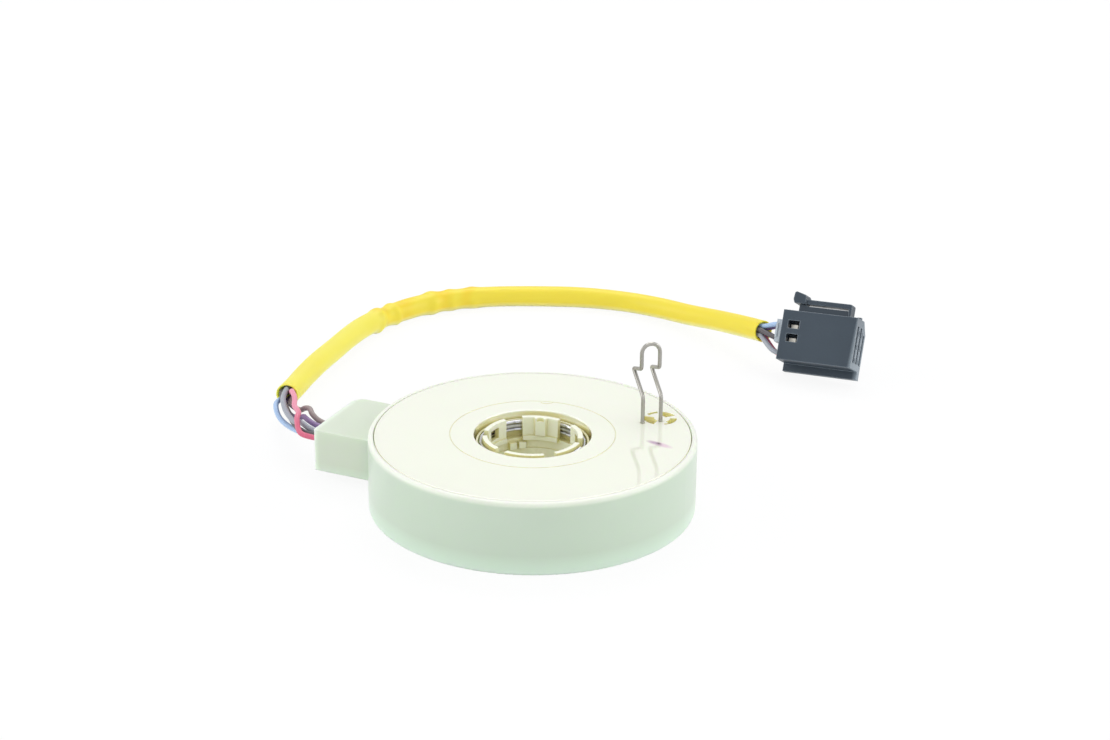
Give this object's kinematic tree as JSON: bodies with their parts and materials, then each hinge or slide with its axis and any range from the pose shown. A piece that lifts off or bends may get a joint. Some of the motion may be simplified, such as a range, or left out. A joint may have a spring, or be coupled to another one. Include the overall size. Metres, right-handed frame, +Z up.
{
  "type": "steering angle sensor",
  "caption": "Round column-mounted sensor with a sprung collet hub, a rotating cover driven by a bent wire hook, and a sleeved lead ending in a latched connector.",
  "frame": {"origin": "on the shaft axis, in the plane of the housing's underside", "axes": "+Z up along the shaft axis, from the underside towards the rotating cover; the outlet box points along -X"},
  "size_m": [0.1413, 0.174, 0.0388],
  "materials": {
    "housing_plastic": "satin moulded, milky green-white",
    "base_plastic": "satin moulded, milky green-white",
    "board": "satin board with printed tracks",
    "solder": "satin solder",
    "clamp_plastic": "satin moulded",
    "cover_plastic": "glossy moulded, cream",
    "hook_wire": "drawn spring wire, dull grey",
    "bronze": "thin spring sheet",
    "hub_plastic": "satin moulded, ivory",
    "spring_wire": "bright drawn spring wire",
    "wire_pink": "satin wire insulation",
    "wire_black": "satin wire insulation",
    "wire_grey": "satin wire insulation",
    "wire_blue": "satin wire insulation",
    "wire_violet": "satin wire insulation",
    "wire_brown": "satin wire insulation",
    "sleeve_plastic": "soft glossy sleeve",
    "connector_plastic": "satin moulded, slate grey",
    "guide_plastic": "satin moulded, light grey",
    "contact_metal": "tin-plated sheet"
  },
  "bodies": {
    "housing": {"housing_shell": "housing_plastic", "base_cover": "base_plastic", "circuit_board": "board", "solder_joints": "solder", "wire_clamp": "clamp_plastic", "wire_pink": "wire_pink", "wire_black": "wire_black", "wire_grey": "wire_grey", "wire_blue": "wire_blue", "wire_violet": "wire_violet", "wire_brown": "wire_brown", "sleeve": "sleeve_plastic", "connector_housing": "connector_plastic", "wire_guide": "guide_plastic", "contact_1": "contact_metal", "contact_2": "contact_metal", "contact_3": "contact_metal", "contact_4": "contact_metal", "contact_5": "contact_metal", "contact_6": "contact_metal"},
    "hub": {"hub": "hub_plastic", "clamp_spring": "spring_wire", "hub_wiper": "bronze"},
    "cover": {"cover_plate": "cover_plastic", "drive_hook": "hook_wire", "cover_wiper": "bronze"}
  },
  "joints": [
    {"name": "hub_turn", "type": "hinge", "parent": "housing", "child": "hub", "pos_m": [0, 0, 0.009], "axis": [0, 0, 1], "continuous": true},
    {"name": "cover_twist", "type": "hinge", "parent": "hub", "child": "cover", "pos_m": [0, 0, 0.0125], "axis": [0, 0, 1], "range_deg": [-8, 8]}
  ]
}
